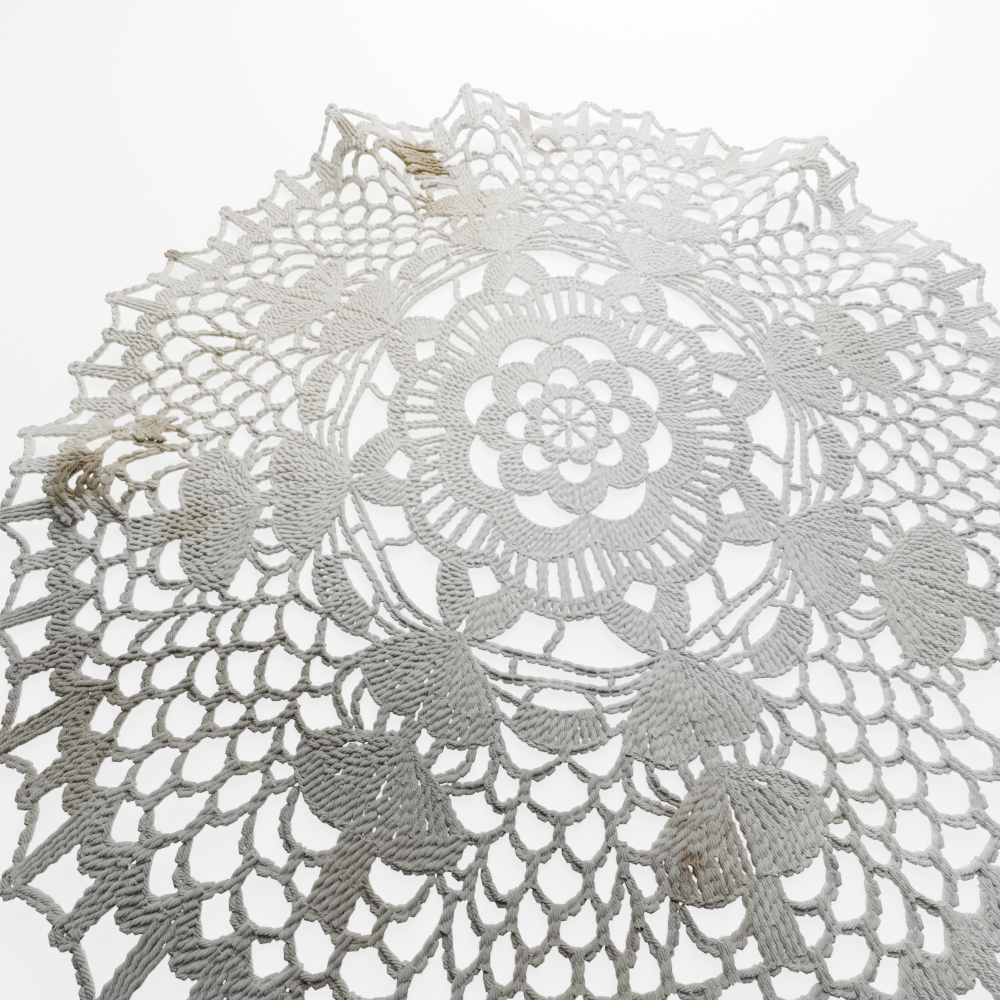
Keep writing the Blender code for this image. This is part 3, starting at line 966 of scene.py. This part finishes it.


# %% How much of a stain, or of the painted shade, there is at a place
def stain_or_shade_share(tree, place, ragged, stain_or_shade):
    middle = lay(np.array([[*at(stain_or_shade["turn"], stain_or_shade["radius"]), 0.0]]))[0]
    away = add_node(tree, "ShaderNodeVectorMath", {"operation": "DISTANCE"}, _0=place)
    away.inputs[1].default_value = middle
    wander = RAGGED * min(stain_or_shade["across"], WIDEST_EDGE) * MM
    edge = arithmetic(tree, "MULTIPLY", ragged, wander)
    share = add_node(tree, "ShaderNodeMapRange", {"interpolation_type": "SMOOTHSTEP"},
                     Value=arithmetic(tree, "ADD", away.outputs["Value"], edge))
    share.inputs["From Min"].default_value = stain_or_shade["core"] * MM
    share.inputs["From Max"].default_value = stain_or_shade["across"] * MM
    share.inputs["To Min"].default_value = stain_or_shade["strength"]
    share.inputs["To Max"].default_value = 0.0
    return share.outputs["Result"]


# %% The whole thread material
def spun_cotton():
    material = bpy.data.materials.new("spun_ecru_cotton")
    material.use_nodes = True
    tree = material.node_tree
    shader = tree.nodes["Principled BSDF"]
    place = add_node(tree, "ShaderNodeTexCoord").outputs["Object"]
    plies = ply_ridges(tree)
    fibres = scaled(tree, place, FIBRE_SIZE, Detail=4.0)
    clouds = scaled(tree, place, CLOUD_SIZE, Detail=3.0)
    specks = scaled(tree, place, SPECK_SIZE, Detail=2.0)
    aged = arithmetic(tree, "ADD", arithmetic(tree, "MULTIPLY", clouds, CLOUDS), CLOUD_START)
    aged = arithmetic(tree, "ADD", aged, arithmetic(tree, "MULTIPLY", specks, SPECKS))
    colour = blend(tree, aged, linear(ECRU), linear(SHADE))
    fuzz = arithmetic(tree, "SUBTRACT", scaled(tree, place, FUZZ_SIZE, Detail=3.0), MIDDLE)
    # painted shade in the creases between the plies, with the random tone of the tufts
    ply_shade_and_tufts = arithmetic(tree, "SUBTRACT", 1.0, plies)
    ply_shade_and_tufts = arithmetic(tree, "MULTIPLY", ply_shade_and_tufts, PLY_SHADE_SHARE)
    ply_shade_and_tufts = arithmetic(tree, "ADD", ply_shade_and_tufts, arithmetic(tree, "MULTIPLY", fuzz, FUZZ))
    colour = blend(tree, ply_shade_and_tufts, colour, linear(PLY_SHADE_AND_TUFT))
    ragged = arithmetic(tree, "SUBTRACT", scaled(tree, place, STAIN_AND_SHADE_EDGE, Detail=2.0), MIDDLE)
    # Real stains tint the cotton, and the last row darkens the near left side as painted shade.
    for stain_or_shade in named_rows(STAIN_AND_SHADE_COLUMNS, STAINS_AND_SHADE):
        share = stain_or_shade_share(tree, place, ragged, stain_or_shade)
        colour = blend(tree, share, colour, linear(stain_or_shade["colour"]), "MULTIPLY")
    tree.links.new(colour, shader.inputs["Base Color"])
    height = arithmetic(tree, "MULTIPLY", fibres, FIBRE_BUMP / PLY_BUMP)
    height = arithmetic(tree, "ADD", plies, height)
    bump = add_node(tree, "ShaderNodeBump", Height=height, Distance=PLY_BUMP * MM)
    tree.links.new(bump.outputs["Normal"], shader.inputs["Normal"])
    shader.inputs["Roughness"].default_value = COTTON_ROUGHNESS
    shader.inputs["Sheen Weight"].default_value = COTTON_SHEEN
    shader.inputs["Sheen Roughness"].default_value = SHEEN_ROUGHNESS
    return material


cotton = spun_cotton()
for piece in pieces.values():
    piece.data.materials.append(cotton)
print("cotton:", len(cotton.node_tree.nodes), "nodes,", len(STAINS_AND_SHADE), "stains")

# %% [markdown]
# ## One cloth
# The doily is one piece of cloth with no joints. It could be split at its rounds, but nothing in it
# moves by itself, so all its thread rides on the one body, and the solid doily is hidden.

# %% Tie the pieces to the doily
for name, piece in pieces.items():
    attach(piece, "root")
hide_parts("doily")

# %% [markdown]
# ## Table, light and camera
# The doily lies on a plain white top, lit so evenly that the table is near white between the threads.
# A brighter lamp would light the thread as much as the table, so the top glows a little by itself.
# One large soft lamp stands on the far side, low enough to shade the stitches, so the near side falls
# off to grey, and painted shade in the cotton's colour darkens the near left further. The camera is close
# above the near half of the cloth, with a wide lens.

# %% A plain white table top
TABLE_SIZE = 3.0            # m
TABLE_HEIGHT = -0.0004      # m, a hair under the cloth
TABLE_WHITE = "#FFFFFF"
TABLE_ROUGHNESS = 0.6
TABLE_GLOW = 4.0


def table_top():
    bpy.ops.mesh.primitive_plane_add(size=TABLE_SIZE, location=(0, 0, TABLE_HEIGHT))
    top = bpy.context.object
    top.name = "table_top"
    material = bpy.data.materials.new("white_laminate")
    material.use_nodes = True
    shader = material.node_tree.nodes["Principled BSDF"]
    shader.inputs["Base Color"].default_value = linear(TABLE_WHITE)
    shader.inputs["Roughness"].default_value = TABLE_ROUGHNESS
    shader.inputs["Emission Color"].default_value = linear(TABLE_WHITE)
    shader.inputs["Emission Strength"].default_value = TABLE_GLOW
    top.data.materials.append(material)


table_top()
print("table top:", TABLE_SIZE, "m wide")

# %% Soft light
ROOM_LIGHT = 0.25
LAMP_PLACE = (0.03, 0.26, 0.21)     # m
LAMP_TARGET = (0.0, 0.05, 0.0)
LAMP_SIZE = 0.33            # m
LAMP_POWER = 8.2            # W

world = bpy.data.worlds.new("soft_room")
world.use_nodes = True
sky = world.node_tree.nodes["Background"]
sky.inputs["Color"].default_value = (1, 1, 1, 1)
sky.inputs["Strength"].default_value = ROOM_LIGHT
bpy.context.scene.world = world


def area_light(name, place, target, size, power):
    light = bpy.data.lights.new(name, "AREA")
    light.size = size
    light.energy = power
    lamp = bpy.data.objects.new(name, light)
    lamp.location = place
    lamp.rotation_euler = (Vector(target) - Vector(place)).to_track_quat("-Z", "Y").to_euler()
    bpy.context.scene.collection.objects.link(lamp)


area_light("window", LAMP_PLACE, LAMP_TARGET, LAMP_SIZE, LAMP_POWER)
print("lamp:", LAMP_SIZE, "m wide,", LAMP_POWER, "W")

# %% Camera at the photo's place
CAMERA_TILT = 68.72         # degrees below the horizon
CAMERA_ROLL = -2.45         # degrees
CAMERA_AWAY = np.array((-18.5, -70.3, 119.2))    # mm from the middle of the rosette
LENS = 17.28                # mm: a close, wide view
SENSOR = 36                 # mm
NEAREST = 0.005             # m

tilt = math.radians(CAMERA_TILT)
roll = math.radians(CAMERA_ROLL)
right = Vector((1, 0, 0))
up = Vector((0, math.sin(tilt), math.cos(tilt)))
back = Vector((0, -math.cos(tilt), math.sin(tilt)))
camera_right = math.cos(roll) * right - math.sin(roll) * up
camera_up = math.sin(roll) * right + math.cos(roll) * up
data = bpy.data.cameras.new("camera")
data.lens = LENS
data.sensor_width = SENSOR
data.clip_start = NEAREST
camera = bpy.data.objects.new("camera", data)
bpy.context.scene.collection.objects.link(camera)
place = Vector((CAMERA_AWAY + rosette_middle) * MM)
facing = Matrix((camera_right, camera_up, back)).transposed().to_4x4()
camera.matrix_world = Matrix.Translation(place) @ facing
bpy.context.scene.camera = camera
print("camera at, m:", [round(value, 4) for value in place])
